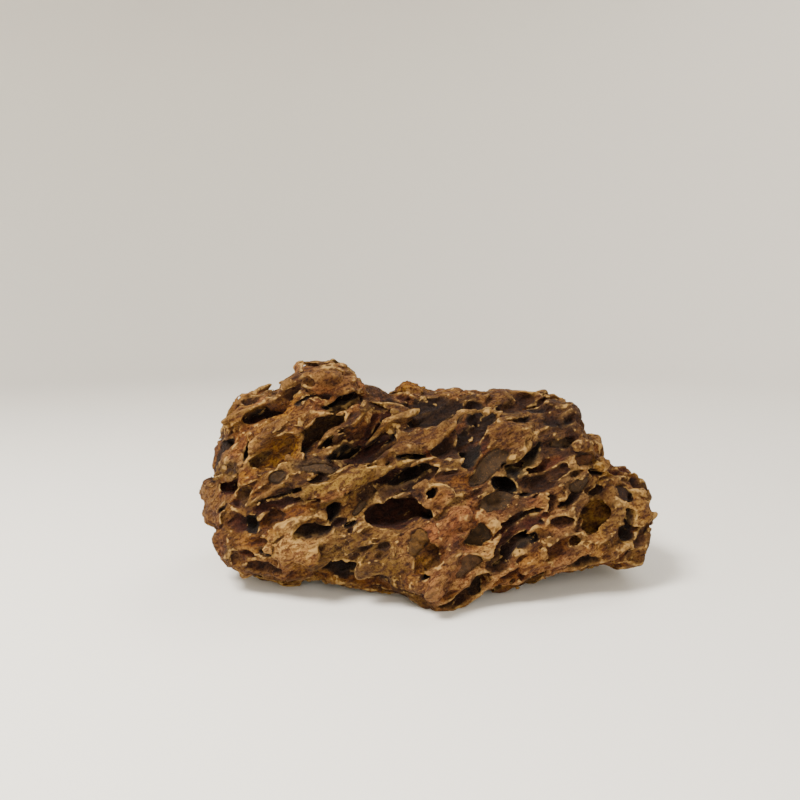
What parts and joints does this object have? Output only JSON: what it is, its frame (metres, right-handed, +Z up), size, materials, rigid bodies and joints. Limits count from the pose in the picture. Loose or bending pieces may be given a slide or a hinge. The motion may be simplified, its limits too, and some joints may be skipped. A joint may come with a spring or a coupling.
{
  "type": "dragon stone",
  "caption": "Natural tan clay stone for an aquarium, pitted all over along one slanting grain, with dark clay left in some pits.",
  "frame": {"origin": "on the resting plane, under the middle of the stone's box", "axes": "+X to the right along the stone, +Y away from the pitted front, +Z up"},
  "size_m": [0.245, 0.134, 0.1176],
  "materials": {
    "tan_stone": "matte",
    "residual_clay": "matte"
  },
  "bodies": {
    "root": {"clay_fill_centre_base": "residual_clay", "clay_fill_centre_long": "residual_clay", "clay_fill_centre_low": "residual_clay", "clay_fill_centre_round": "residual_clay", "clay_fill_left_oval": "residual_clay", "clay_fill_left_shelf": "residual_clay", "clay_fill_olive": "residual_clay", "clay_fill_right_grey": "residual_clay", "clay_fill_right_slot": "residual_clay", "clay_fill_right_speckled": "residual_clay", "clay_fill_right_tip": "residual_clay", "clay_fill_small_oval": "residual_clay", "clay_fill_top_hollow": "residual_clay", "stone_body": "tan_stone"}
  },
  "joints": []
}
